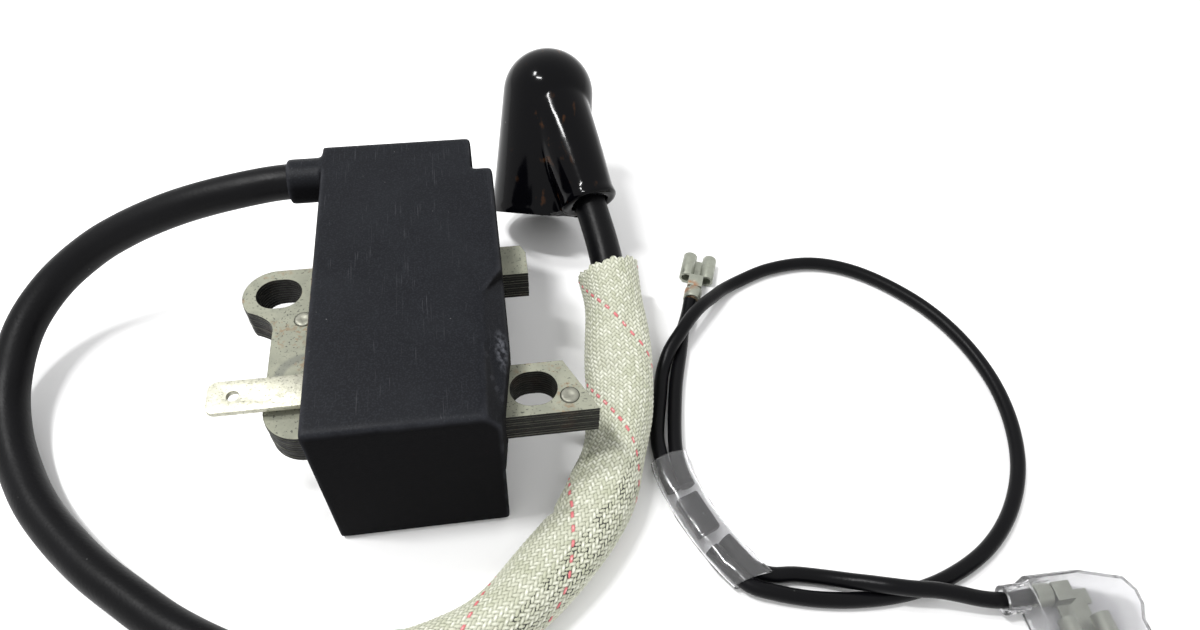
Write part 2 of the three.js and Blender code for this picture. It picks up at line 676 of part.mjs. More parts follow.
// The crimps behind a terminal: a closed one on the conductor and an open one round the wire.
function crimps(front, height) {
  const at = (y) => vector([0, y, height]);
  const barrel = rod(at(front - 5.4), at(front - 3.2), 1.5, 1.5, 16);
  return join(
    block(-1, 1, front - 5.2, front + 0.5, height - 1.55, height - 1.55 + metal),
    block(-1.25, 1.25, front - 2.6, front, height - 1.5, height + 0.85),
    cut(barrel, rod(at(front - 6), at(front - 3), 1.18, 1.18, 16)),
  );
}

function placed(solid, turn, x, y, z) {
  const geometry = geometryOf(solid);
  geometry.rotateZ(turn);
  geometry.translate(x, y, z);
  return solidOf(geometry);
}

const receptacleTurn = Math.atan2(9.6, 3.7) - Math.PI / 2;
add('tab_receptacle', placed(
  join(pushOn(6, 1.25, 5.2), crimps(-5.1, 1.6)),
  receptacleTurn, 61.6, 45.9, 0.05,
), finishes.tin);

// The flag terminal: crimps along X, the push-on part at a right angle towards -Y.
const flagAxis = 2.6;
const flagBase = flagAxis - 1.55;
const flagLine = -21.45;
add('flag_terminal', join(
  placed(crimps(0, flagAxis), -Math.PI / 2, 97.6, flagLine, 0),
  block(97, 100.8, flagLine - 1.4, flagLine + 0.6, flagBase, flagBase + metal),
  block(95.6, 100, -25, flagLine - 1, flagBase, flagBase + metal),
  placed(pushOn(7.4, 1.35, 7.6), Math.PI, 97.8, -32.4, flagBase),
), finishes.tin);

function insetOutline(points, amount, open) {
  const count = points.length;
  return points.map((p, i) => {
    const before = points[(i + count - 1) % count];
    const after = points[(i + 1) % count];
    const a = new THREE.Vector2(p[0] - before[0], p[1] - before[1]).normalize();
    const b = new THREE.Vector2(after[0] - p[0], after[1] - p[1]).normalize();
    const sum = new THREE.Vector2(a.y + b.y, -a.x - b.x);
    const k = amount / (0.5 * sum.lengthSq());
    const x = p[0] + sum.x * k;
    const y = p[1] + sum.y * k;
    return [x, p[1] < -37 ? y - open : y];
  });
}

const neckFrom = vector([88, flagLine, flagAxis]);
const neckTo = vector([92, flagLine, flagAxis]);
add('flag_cover', cut(
  join(
    cushion(polygon(flagOutline), 0.05, cover.top, 0.8),
    rod(neckFrom, neckTo, cover.neck),
  ),
  plate(polygon(insetOutline(flagOutline, cover.wall, 3)), 0.05 + cover.wall, cover.top - cover.wall),
  rod(vector([87, flagLine, flagAxis]), neckTo, cover.bore),
), finishes.clear);

export default coil;
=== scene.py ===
import math
import random

import bmesh
import bpy
from mathutils import Matrix, Vector


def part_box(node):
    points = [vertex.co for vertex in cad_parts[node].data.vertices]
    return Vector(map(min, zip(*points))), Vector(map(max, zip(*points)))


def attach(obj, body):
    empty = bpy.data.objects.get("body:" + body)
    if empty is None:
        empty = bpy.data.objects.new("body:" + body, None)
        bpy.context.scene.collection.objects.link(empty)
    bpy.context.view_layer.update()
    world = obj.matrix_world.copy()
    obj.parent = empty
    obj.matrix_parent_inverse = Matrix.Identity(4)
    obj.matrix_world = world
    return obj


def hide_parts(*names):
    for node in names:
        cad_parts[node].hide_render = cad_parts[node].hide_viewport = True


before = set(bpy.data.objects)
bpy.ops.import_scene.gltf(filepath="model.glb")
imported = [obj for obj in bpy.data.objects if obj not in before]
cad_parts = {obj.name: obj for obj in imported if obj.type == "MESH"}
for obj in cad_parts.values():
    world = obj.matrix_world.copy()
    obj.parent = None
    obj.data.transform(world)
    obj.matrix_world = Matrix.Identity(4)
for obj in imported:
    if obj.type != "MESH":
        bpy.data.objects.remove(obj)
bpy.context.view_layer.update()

# Lengths below are millimetres from the case's corner; at() turns them into the row frame.
MM = 0.001
corner_low, corner_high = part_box("case_shell")
CASE_WIDTH = 25.5
CASE_LENGTH = 52.6
ORIGIN = Vector((corner_high.x - CASE_WIDTH * MM, corner_high.y - CASE_LENGTH * MM, corner_low.z))


def at(x, y, z):
    return ORIGIN + Vector((x, y, z)) * MM


# ---------------------------------------------------------------- camera

scene = bpy.context.scene
scene.view_settings.view_transform = "Standard"
camera = bpy.data.objects.new("camera", bpy.data.cameras.new("camera"))
scene.collection.objects.link(camera)
camera.data.lens = 25.41
camera.data.sensor_width = 36
camera.data.clip_start = 0.005
right = Vector((0.98844, -0.14652, 0.03886))
down = Vector((-0.08893, -0.76809, -0.63413))
ahead = Vector((0.12276, 0.62335, -0.77225))
turn = Matrix((right, -down, -ahead)).transposed().to_4x4()
camera.matrix_world = Matrix.Translation(at(23.91, -55.01, 112.73)) @ turn
scene.camera = camera

# ---------------------------------------------------------------- routes
#
# The routes' points were chosen on the photograph. The fitted camera put them in case millimetres at
# assumed heights, and they were then rounded and adjusted.


def catmull(points, spacing):
    """A centripetal curve through the points, sampled about every spacing millimetres."""
    p = [Vector(q) for q in points]
    p = [p[0] * 2 - p[1]] + p + [p[-1] * 2 - p[-2]]
    out = [p[1].copy()]
    for i in range(1, len(p) - 2):
        p0, p1, p2, p3 = p[i - 1:i + 3]
        d0, d1, d2 = ((b - a).length ** 0.5 for a, b in ((p0, p1), (p1, p2), (p2, p3)))
        m1 = ((p1 - p0) / d0 - (p2 - p0) / (d0 + d1) + (p2 - p1) / d1) * d1
        m2 = ((p2 - p1) / d1 - (p3 - p1) / (d1 + d2) + (p3 - p2) / d2) * d1
        steps = max(1, round((p2 - p1).length / spacing))
        for k in range(1, steps + 1):
            t = k / steps
            a = 2 * p1 - 2 * p2 + m1 + m2
            b = -3 * p1 + 3 * p2 - 2 * m1 - m2
            out.append(((a * t + b) * t + m1) * t + p1)
    return out


def length_of(points):
    return sum((b - a).length for a, b in zip(points, points[1:]))


DOME = Vector((36.72, 69.7, 21.43))
MOUTH = Vector((33.55, 55.5, 6.05))
ROOT = Vector((36.6, 70, 23.3))
RING = Vector((41.5, 49, 13.8))
TUBE_AXIS = (RING - ROOT).normalized()
TUBE_LENGTH = (RING - ROOT).length
BODY_AXIS = (MOUTH - DOME).normalized()
BODY_LENGTH = (MOUTH - DOME).length


def on_tube(t):
    return ROOT + TUBE_AXIS * t


LEAD = [
    (8.7, 48.6, 23.5), (1, 48.6, 23.5), (-6.5, 48.6, 23.5), (-13, 48, 23), (-20.4, 47.5, 21.6),
    (-25.6, 47.2, 20), (-30.9, 46.6, 18), (-36.2, 45.4, 15.6), (-42.6, 42.1, 12), (-46.7, 36.4, 8.9),
    (-48, 28.1, 5.9), (-46.6, 20.5, 4.2), (-44.1, 14.5, 3.3), (-41, 9.2, 3), (-37.1, 4.3, 2.75),
    (-31.8, -1.2, 2.75), (-27, -5.3, 2.75), (-19.8, -10.9, 2.75), (-9.5, -16.7, 2.9),
    (0.5, -20, 3.8), (10.5, -20.2, 4.8), (19.1, -17, 4.8), (27.3, -11.2, 4.8), (34.4, -3.9, 4.8),
    (38.3, 1.8, 4.8), (41.1, 11.2, 4.9), (42.3, 20, 5.6), (42.9, 28.9, 7.3), (43, 38.8, 10.2),
]
SLEEVE = [(8, -20.4, 4.6)] + LEAD[-9:-1] + [(42.95, 37.7, 9.85)]
LEAD_FULL = LEAD + [tuple(on_tube(TUBE_LENGTH + 1.5)), tuple(on_tube(TUBE_LENGTH - 3)), tuple(on_tube(15))]
TAIL = [
    (49.55, 1.1, 1.75), (49.05, 3.6, 1.75), (48.95, 6.2, 1.75), (49.4, 9.6, 1.5), (50.4, 14.3, 1.2),
    (51.7, 19.5, 1.15), (53.9, 26.3, 1.15), (55.1, 30.2, 1.15), (56.6, 33.6, 1.2), (57.55, 36.1, 1.65),
]
LOOP = [
    (47.38, 0.6, 1.75), (46.8, 3.4, 1.75), (46.6, 6.2, 1.75), (46.7, 9.6, 1.5), (47.5, 13.2, 1.2),
    (48.6, 17.2, 1.15), (50, 22.1, 1.4), (51.6, 25.1, 2.7), (53.8, 27.7, 3.6), (56.3, 30.7, 3.8),
    (58.7, 33.2, 3.5), (61.2, 35.5, 2.6), (64, 38, 1.6), (67.3, 39.9, 1.15), (73.2, 42.1, 1.15),
    (80.5, 42.8, 1.15), (86, 41.4, 1.15), (91.6, 37.9, 1.15), (98.2, 30.6, 1.15), (102, 22.6, 1.15),
    (103.6, 13.7, 1.15), (102.9, 5.5, 1.15), (100.2, -2.3, 1.15), (95.5, -9, 1.15), (89.7, -13.8, 1.15),
    (82.5, -17, 1.15), (75.8, -18.3, 1.15), (69, -18.3, 1.15), (64.1, -17.6, 1.15), (60.8, -16.8, 1.25),
    (57.9, -15.9, 1.5), (54.9, -14.6, 1.7), (53, -12.3, 1.75), (50.8, -8.9, 1.75),
]
END = [
    (52.9, -7.7, 1.75), (54.6, -10.5, 1.75), (55.8, -12.3, 1.75), (58.2, -13.4, 1.4), (61.5, -13.7, 1.15),
    (65.5, -14.7, 1.2), (68.9, -16, 2), (71, -17, 3), (73.1, -17.9, 3.7), (76, -18.7, 3.8),
    (79.2, -19.3, 3.7), (82.2, -20.1, 3.3), (85.1, -20.9, 2.8), (87.8, -21.4, 2.6), (91, -21.45, 2.6),
    (94.6, -21.45, 2.6),
]
SPLICE = [
    (47.7, 6, 1.75), (47.9, 3.6, 1.75), (48.7, 0.1, 1.75), (50.2, -4.3, 1.75), (52.1, -8.4, 1.75),
    (54, -11.7, 1.75), (54.9, -13, 1.75),
]


# ---------------------------------------------------------------- materials


class Paint:
    """A material under construction: every texture runs in millimetres over the object."""

    def __init__(self, name, base, rough, metal=0.0, **sockets):
        self.material = bpy.data.materials.new(name)
        self.material.use_nodes = True
        self.tree = self.material.node_tree
        self.shader = self.tree.nodes["Principled BSDF"]
        self.base = (*base, 1)
        self.set("Base Color", self.base)
        self.set("Roughness", rough)
        self.set("Metallic", metal)
        for key, value in sockets.items():
            self.set(key.replace("_", " "), value)
        self.place = self.node("ShaderNodeTexCoord").outputs["Object"]
        self.colour = None
        self.height = None

    def set(self, socket, value):
        self.shader.inputs[socket].default_value = value

    def node(self, kind, **values):
        made = self.tree.nodes.new(kind)
        for key, value in values.items():
            setattr(made, key, value)
        return made

    def link(self, a, b):
        self.tree.links.new(a, b)

    def scaled(self, sx, sy, sz, rotation=(0, 0, 0)):
        mapping = self.node("ShaderNodeMapping")
        mapping.inputs["Scale"].default_value = (1000 / sx, 1000 / sy, 1000 / sz)
        mapping.inputs["Rotation"].default_value = rotation
        self.link(self.place, mapping.inputs["Vector"])
        return mapping.outputs["Vector"]

    def noise(self, size, detail=3, source=None, distortion=0.0):
        made = self.node("ShaderNodeTexNoise")
        made.inputs["Detail"].default_value = detail
        made.inputs["Distortion"].default_value = distortion
        if source is None:
            made.inputs["Scale"].default_value = 1000 / size
            self.link(self.place, made.inputs["Vector"])
        else:
            made.inputs["Scale"].default_value = 1
            self.link(source, made.inputs["Vector"])
        return made.outputs["Fac"]

    def cells(self, size):
        made = self.node("ShaderNodeTexVoronoi", feature="F1")
        made.inputs["Scale"].default_value = 1000 / size
        self.link(self.place, made.inputs["Vector"])
        return made.outputs["Distance"]

    def ramp(self, value, low, high, start=0.0, end=1.0):
        made = self.node("ShaderNodeMapRange")
        made.inputs["From Min"].default_value = low
        made.inputs["From Max"].default_value = high
        made.inputs["To Min"].default_value = start
        made.inputs["To Max"].default_value = end
        self.link(value, made.inputs["Value"])
        return made.outputs["Result"]

    def math(self, operation, a, b=None):
        made = self.node("ShaderNodeMath", operation=operation)
        for socket, value in zip(made.inputs, (a, b)):
            if value is None:
                continue
            if isinstance(value, (int, float)):
                socket.default_value = value
            else:
                self.link(value, socket)
        return made.outputs[0]

    def tint(self, mask, colour):
        """Mixes a colour over what is there by a mask."""
        made = self.node("ShaderNodeMix", data_type="RGBA")
        self.link(mask, made.inputs["Factor"])
        if self.colour is None:
            made.inputs[6].default_value = self.base
        else:
            self.link(self.colour, made.inputs[6])
        made.inputs[7].default_value = (*colour, 1)
        self.colour = made.outputs[2]
        self.link(self.colour, self.shader.inputs["Base Color"])

    def rough(self, value, low, high, start, end):
        self.link(self.ramp(value, low, high, start, end), self.shader.inputs["Roughness"])

    def bump(self, value, depth):
        """Raises the surface by up to depth millimetres."""
        made = self.node("ShaderNodeBump")
        made.inputs["Strength"].default_value = 1
        made.inputs["Distance"].default_value = depth * MM
        self.link(value, made.inputs["Height"])
        if self.height is not None:
            self.link(self.height, made.inputs["Normal"])
        self.height = made.outputs["Normal"]
        self.link(self.height, self.shader.inputs["Normal"])

    def facing_up(self, low, high):
        """1 where the surface faces up or down, 0 on its sides."""
        normal = self.node("ShaderNodeNewGeometry").outputs["Normal"]
        split = self.node("ShaderNodeSeparateXYZ")
        self.link(normal, split.inputs[0])
        return self.ramp(self.math("ABSOLUTE", split.outputs[2]), low, high)

    def away_from(self, place, stretch=(1, 1, 1)):
        """Distance in millimetres from a place, with each axis stretched."""
        gap = self.node("ShaderNodeVectorMath", operation="SUBTRACT")
        self.link(self.place, gap.inputs[0])
        gap.inputs[1].default_value = at(*place)
        scale = self.node("ShaderNodeVectorMath", operation="MULTIPLY")
        self.link(gap.outputs["Vector"], scale.inputs[0])
        scale.inputs[1].default_value = tuple(1000 * k for k in stretch)
        size = self.node("ShaderNodeVectorMath", operation="LENGTH")
        self.link(scale.outputs["Vector"], size.inputs[0])
        return size.outputs["Value"]

    def painted_edge_highlight(self, low, high):
        """Masks sharp outer edges, where a highlight is painted."""
        pointy = self.node("ShaderNodeNewGeometry").outputs["Pointiness"]
        return self.ramp(pointy, low, high)


def case_plastic():
    p = Paint("case_plastic", (0.004, 0.0045, 0.0065), 0.5, Specular_IOR_Level=0.1)
    flat = p.facing_up(0.35, 0.9)
    grain = p.noise(0.22, 4)
    cloud = p.noise(9, 4, distortion=0.6)
    # Painted shade: the sides, where flat is 0, are painted darker than the top.
    p.tint(p.math("SUBTRACT", 1, flat), (0.0012, 0.0012, 0.0018))
    p.tint(p.math("MULTIPLY", flat, p.ramp(cloud, 0.42, 0.7, 0, 0.6)), (0.0075, 0.0085, 0.011))
    p.tint(p.math("MULTIPLY", flat, p.ramp(grain, 0.5, 0.62, 0, 0.5)), (0.015, 0.017, 0.021))
    # Painted highlight: a lighter line along the sharp edges and folds of the case.
    edge = p.math("MULTIPLY", p.painted_edge_highlight(0.506, 0.53), p.ramp(p.noise(3, 4), 0.35, 0.6, 0.3, 1))
    p.tint(p.math("MULTIPLY", edge, 0.6), (0.026, 0.027, 0.032))
    hair = p.noise(1, 2, p.scaled(0.16, 7, 0.16, (0.3, 0.2, 0.55)))
    scratch = p.math("MULTIPLY", p.ramp(hair, 0.64, 0.7), p.ramp(p.noise(6, 2), 0.46, 0.6))
    p.tint(p.math("MULTIPLY", p.math("MULTIPLY", scratch, flat), 0.45), (0.06, 0.061, 0.068))
    speck = p.math("MULTIPLY", p.ramp(p.cells(1.3), 0.08, 0.04), p.ramp(p.noise(3.5, 3), 0.56, 0.66))
    p.tint(p.math("MULTIPLY", p.math("MULTIPLY", speck, flat), 0.7), (0.2, 0.2, 0.2))
    shoulder = p.ramp(p.away_from((24.4, 11.2, 25.5), (1.4, 0.4, 0.4)), 1.5, 0.4)
    smear = p.math("MULTIPLY", shoulder, p.ramp(p.noise(0.8, 4), 0.42, 0.6))
    p.tint(p.math("MULTIPLY", smear, 0.5), (0.14, 0.145, 0.165))
    resin_edge = p.ramp(p.away_from((-0.1, 22, 26.3), (3, 0.05, 1)), 1.2, 0.6)
    varnish = p.math("MULTIPLY", resin_edge, p.ramp(p.noise(1.4, 4), 0.45, 0.6))
    p.tint(p.math("MULTIPLY", varnish, 0.55), (0.13, 0.075, 0.03))
    matt = p.math("MAXIMUM", p.ramp(cloud, 0.3, 0.75, 0.44, 0.56), p.ramp(flat, 0, 1, 0.92, 0.3))
    p.link(matt, p.shader.inputs["Roughness"])
    p.bump(p.math("MULTIPLY", flat, cloud), 0.04)
    p.bump(grain, 0.025)
    return p.material


def resin():
    p = Paint("potting_resin", (0.02, 0.013, 0.008), 0.22, Coat_Weight=0.3)
    p.tint(p.ramp(p.noise(5, 4, distortion=0.8), 0.45, 0.75, 0, 0.7), (0.07, 0.04, 0.018))
    p.bump(p.noise(6, 2), 0.25)
    p.bump(p.cells(2.3), 0.03)
    return p.material


def core_steel():
    p = Paint("core_steel", (0.25, 0.255, 0.2), 0.6, 0.05, Specular_IOR_Level=0.15)
    flat = p.facing_up(0.9, 0.98)
    side = p.math("SUBTRACT", 1, flat)
    p.tint(p.ramp(p.noise(2.6, 5, distortion=0.5), 0.4, 0.68, 0, 0.7), (0.175, 0.182, 0.145))
    p.tint(p.ramp(p.noise(0.35, 3), 0.6, 0.68, 0, 0.9), (0.06, 0.062, 0.052))
    band = p.math("ABSOLUTE", p.math("SUBTRACT", p.away_from((-1.4, 13.4, 20.27)), 3.6))
    p.tint(p.math("MULTIPLY", p.ramp(band, 0.8, 0.4), 0.6), (0.13, 0.135, 0.12))
    patch = p.ramp(p.noise(3.2, 4), 0.56, 0.64, 0, 0.5)
    rust = p.math("MULTIPLY", patch, p.ramp(p.noise(0.6, 3), 0.5, 0.6))
    p.tint(rust, (0.2, 0.11, 0.05))
    # Painted shade: the sides of the stack, where side is 1, are painted nearly black against the lighter
    # top.
    p.tint(p.math("MULTIPLY", side, 0.985), (0.007, 0.0068, 0.0065))
    line = p.noise(1, 3, p.scaled(9, 9, 0.17))
    p.tint(p.math("MULTIPLY", side, p.ramp(line, 0.56, 0.66, 0, 0.5)), (0.032, 0.031, 0.028))
    p.tint(p.math("MULTIPLY", p.ramp(p.noise(4.5, 4), 0.6, 0.7, 0, 0.35), side), (0.035, 0.016, 0.01))
    p.rough(p.noise(1.2, 4), 0.3, 0.7, 0.45, 0.7)
    p.bump(p.noise(0.3, 4), 0.03)
    p.bump(p.math("MULTIPLY", side, line), 0.06)
    return p.material


def bright_metal(name, base, rough, bump=0.02, dark=(0.12, 0.115, 0.1), stain=0.6):
    p = Paint(name, base, rough, 0.88)
    p.tint(p.ramp(p.noise(0.5, 5, distortion=0.4), 0.5, 0.72, 0, stain), dark)
    p.tint(p.ramp(p.noise(2.8, 3), 0.45, 0.7, 0, 0.3), tuple(c * 1.2 for c in base))
    p.rough(p.noise(0.9, 4), 0.3, 0.7, rough * 0.7, min(1, rough * 1.5))
    p.bump(p.noise(0.25, 4), bump)
    return p


def tab_metal():
    p = bright_metal("tinned_metal", (0.56, 0.555, 0.46), 0.5, 0.03, (0.27, 0.265, 0.2))
    stamp = p.ramp(p.away_from((-2.7, 10.5, 21), (1, 0.55, 1)), 1.25, 0.95)
    p.tint(p.math("MULTIPLY", stamp, 0.6), (0.2, 0.2, 0.18))
    p.tint(p.math("MULTIPLY", p.ramp(p.noise(0.3, 3), 0.6, 0.66), 0.6), (0.12, 0.115, 0.09))
    return p.material


def terminal_metal():
    p = bright_metal("terminal_tin", (0.33, 0.345, 0.29), 0.42, 0.01, (0.2, 0.2, 0.16), 0.25)
    neck = p.ramp(p.away_from((57.9, 38.6, 1.7)), 2.1, 1.2)
    p.tint(p.math("MULTIPLY", neck, p.ramp(p.noise(0.9, 3), 0.4, 0.55)), (0.32, 0.15, 0.07))
    p.tint(p.math("MULTIPLY", neck, p.ramp(p.noise(0.7, 2), 0.6, 0.66, 0, 0.8)), (0.75, 0.68, 0.55))
    return p.material


def plain_moulding(name, base, rough, size=0.5):
    p = Paint(name, base, rough)
    p.tint(p.ramp(p.noise(size * 6, 4), 0.4, 0.7, 0, 0.4), tuple(c * 1.6 for c in base))
    p.rough(p.noise(size * 3, 3), 0.3, 0.7, rough * 0.8, min(1, rough * 1.25))
    p.bump(p.noise(size, 4), 0.02)
    return p.material


def cable_rubber(name, base, rough, grain=0.5):
    p = Paint(name, base, rough, Specular_IOR_Level=0.11)
    p.tint(p.ramp(p.noise(11, 4), 0.45, 0.75, 0, 0.5), tuple(c * 2.2 for c in base))
    dust = p.math("MULTIPLY", p.ramp(p.cells(1.6), 0.07, 0.04), p.ramp(p.noise(5, 2), 0.56, 0.66))
    p.tint(p.math("MULTIPLY", dust, 0.4), (0.12, 0.12, 0.12))
    p.rough(p.noise(7, 4), 0.3, 0.7, rough * 0.8, rough * 1.25)
    p.bump(p.noise(grain, 3), 0.03)
    return p.material


def boot_rubber():
    p = Paint("boot_rubber", (0.001, 0.001, 0.0015), 0.12, Specular_IOR_Level=0.11)
    p.rough(p.noise(6, 4), 0.35, 0.75, 0.09, 0.17)
    streak = p.ramp(p.noise(1, 4, p.scaled(1.2, 5, 1.6)), 0.58, 0.7)
    smear = p.math("MULTIPLY", streak, p.ramp(p.noise(7, 2), 0.52, 0.6))
    p.tint(p.math("MULTIPLY", smear, 0.7), (0.045, 0.018, 0.006))
    dust = p.math("MULTIPLY", p.ramp(p.cells(1.9), 0.06, 0.03), p.ramp(p.noise(5, 2), 0.54, 0.64))
    p.tint(p.math("MULTIPLY", dust, 0.7), (0.4, 0.4, 0.4))
    p.bump(p.noise(5, 2), 0.04)
    return p.material


def clear_plastic():
    p = Paint("clear_plastic", (0.86, 0.86, 0.87), 0.1, IOR=1.3, Transmission_Weight=0.96)
    p.rough(p.noise(2.4, 3), 0.35, 0.7, 0.05, 0.22)
    p.bump(p.noise(2.4, 1), 0.1)
    return p.material


def winding():
    p = Paint("copper_winding", (0.42, 0.13, 0.05), 0.3, 0.75)
    rows = p.noise(1, 2, p.scaled(0.12, 40, 40))
    p.tint(p.ramp(rows, 0.4, 0.6, 0, 0.8), (0.16, 0.045, 0.02))
    p.bump(rows, 0.05)
    return p.material


def braid_glass():
    p = Paint("glass_braid", (0.44, 0.45, 0.345), 0.5, Sheen_Weight=0.1)
    weave = p.node("ShaderNodeAttribute", attribute_name="weave")
    split = p.node("ShaderNodeSeparateColor")
    p.link(weave.outputs["Color"], split.inputs[0])
    tall, tracer, tone = split.outputs[0], split.outputs[1], split.outputs[2]
    p.tint(p.ramp(p.noise(5, 3), 0.4, 0.65, 0, 0.5), (0.33, 0.35, 0.23))
    p.tint(p.ramp(tone, 0, 1, 0.0, 0.75), (0.58, 0.59, 0.49))
    p.tint(p.math("MULTIPLY", p.ramp(tracer, 0.35, 0.65), 0.9), (0.58, 0.1, 0.125))
    # Painted highlight: the top of each yarn, where it stands tallest, is painted near white.
    p.tint(p.math("MULTIPLY", p.ramp(tall, 0.82, 1, 0, 0.8), p.ramp(tone, 0.35, 0.9)), (0.85, 0.86, 0.8))
    # Painted shade: the low hollows between the yarns are painted dark.
    p.tint(p.ramp(tall, 0.62, 0.15, 0, 0.85), (0.115, 0.12, 0.08))
    p.tint(p.ramp(tone, -0.3, -0.7), (0.012, 0.012, 0.012))
    p.rough(p.noise(0.5, 3), 0.35, 0.7, 0.35, 0.65)
    p.bump(p.noise(0.12, 3), 0.05)
    return p.material


def board_green():
    p = Paint("board_green", (0.03, 0.13, 0.05), 0.35)
    track = p.noise(1, 0, p.scaled(3, 1.1, 3))
    p.tint(p.ramp(track, 0.5, 0.54, 0, 0.7), (0.09, 0.27, 0.1))
    p.bump(p.ramp(track, 0.5, 0.54), 0.04)
    return p.material


CASE = case_plastic()
RESIN = resin()
STEEL = core_steel()
RIVET = bright_metal("rivet_steel", (0.24, 0.24, 0.2), 0.45).material
FERRULE = bright_metal("splice_solder", (0.016, 0.016, 0.018), 0.35, 0.008, (0.006, 0.006, 0.006)).material
TIN = tab_metal()
TERMINAL = terminal_metal()
BRASS = bright_metal("brass_pin", (0.62, 0.44, 0.17), 0.28, 0.02, (0.3, 0.2, 0.08)).material
BOBBIN = plain_moulding("bobbin_plastic", (0.03, 0.03, 0.027), 0.5)
WINDING = winding()
BOARD = board_green()
CHIP = plain_moulding("component_black", (0.012, 0.012, 0.012), 0.42)
RESISTOR = plain_moulding("component_beige", (0.5, 0.38, 0.2), 0.4)
CABLE = cable_rubber("ht_lead_rubber", (0.0018, 0.0018, 0.0023), 0.42)
WIRE = cable_rubber("wire_insulation", (0.0016, 0.0016, 0.0021), 0.36, 0.3)
BOOT = boot_rubber()
CLEAR = clear_plastic()
GLASS = braid_glass()

# ---------------------------------------------------------------- mesh helpers


def put(name, mesh, paint, body, nodes=(), smooth=35):
    made = bpy.data.objects.new(name, mesh)
    scene.collection.objects.link(made)
    if paint:
        mesh.materials.clear()
        for one in paint if isinstance(paint, list) else [paint]:
            mesh.materials.append(one)
    if smooth:
        mesh.shade_smooth()
        mesh.set_sharp_from_angle(angle=math.radians(smooth))
    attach(made, body)
    if nodes:
        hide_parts(*nodes)
    return made


def applied(made):
    """Freezes the modifiers of an object into its mesh."""
    bpy.context.view_layer.update()
    shown = made.evaluated_get(bpy.context.evaluated_depsgraph_get())
    mesh = bpy.data.meshes.new_from_object(shown)
    made.modifiers.clear()
    made.data = mesh
    return made


def refined(name, node, paint, body, bevel, segments=2):
    """The node's own shape with its edges rounded by bevel millimetres."""
    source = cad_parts[node].data
    mesh = bpy.data.meshes.new(name)
    bm = bmesh.new()
    bm.from_mesh(source)
    bmesh.ops.remove_doubles(bm, verts=bm.verts, dist=2e-6)
    bmesh.ops.dissolve_limit(bm, angle_limit=math.radians(1), verts=bm.verts, edges=bm.edges)
    bm.to_mesh(mesh)
    bm.free()
    made = bpy.data.objects.new(name, mesh)
    scene.collection.objects.link(made)
    if bevel:
        mod = made.modifiers.new("bevel", "BEVEL")
        mod.width = bevel * MM
        mod.segments = segments
        mod.limit_method = "ANGLE"
        mod.angle_limit = math.radians(35)
        applied(made)
    made.data.materials.clear()
    made.data.materials.append(paint)
    made.data.shade_smooth()
    made.data.set_sharp_from_angle(angle=math.radians(50))
    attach(made, body)
    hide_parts(node)
    return made


def frames_along(points):
    """Tangent, side and up for each point, without twist."""
    out = []
    side = None
    for i in range(len(points)):
        a = points[max(i - 1, 0)]
        b = points[min(i + 1, len(points) - 1)]
        t = (b - a).normalized()
        if side is None:
            side = t.cross(Vector((0, 0, 1))).normalized()
        side = (side - t * side.dot(t)).normalized()
        out.append((t, side, side.cross(t)))
    return out


def tube_mesh(name, route, shape, count, spacing):
    """A closed tube along the route; shape(s, angle) gives sideways and upward millimetres."""
    points = catmull(route, spacing)
    frames = frames_along(points)
    bm = bmesh.new()
    rows = []
    walked = 0.0
    for i, (p, (_, side, up)) in enumerate(zip(points, frames)):
        if i:
            walked += (p - points[i - 1]).length
        row = []
        for k in range(count):
            a = k / count * math.tau
            x, y = shape(walked, a)
            row.append(bm.verts.new(at(*(p + side * x + up * y))))
        rows.append(row)
    for a, b in zip(rows, rows[1:]):
        for k in range(count):
            n = (k + 1) % count
            bm.faces.new((a[k], a[n], b[n], b[k]))
    bm.faces.new(rows[0][::-1])
    bm.faces.new(rows[-1])
    bmesh.ops.recalc_face_normals(bm, faces=bm.faces)
    mesh = bpy.data.meshes.new(name)
    bm.to_mesh(mesh)
    bm.free()
    return mesh


def turned_mesh(name, profile, origin, axis, count=48):
    """The profile's [radius, along] pairs turned about an axis from origin; a closed skin."""
    quaternion = Vector((0, 0, 1)).rotation_difference(Vector(axis))
    bm = bmesh.new()
    rows = []
    for r, z in profile:
        if r == 0:
            rows.append([bm.verts.new(at(*(Vector(origin) + quaternion @ Vector((0, 0, z)))))])
            continue
        row = []
        for k in range(count):
            a = k / count * math.tau
            place = Vector((r * math.cos(a), r * math.sin(a), z))
            row.append(bm.verts.new(at(*(Vector(origin) + quaternion @ place))))
        rows.append(row)
    for a, b in zip(rows, rows[1:]):
        for k in range(count):
            n = (k + 1) % count
            if len(a) == 1 and len(b) == 1:
                continue
            if len(a) == 1:
                bm.faces.new((a[0], b[k], b[n]))
            elif len(b) == 1:
                bm.faces.new((a[k], b[0], a[n]))
            else:
                bm.faces.new((a[k], b[k], b[n], a[n]))
    bmesh.ops.recalc_face_normals(bm, faces=bm.faces)
    mesh = bpy.data.meshes.new(name)
    bm.to_mesh(mesh)
    bm.free()
    return mesh


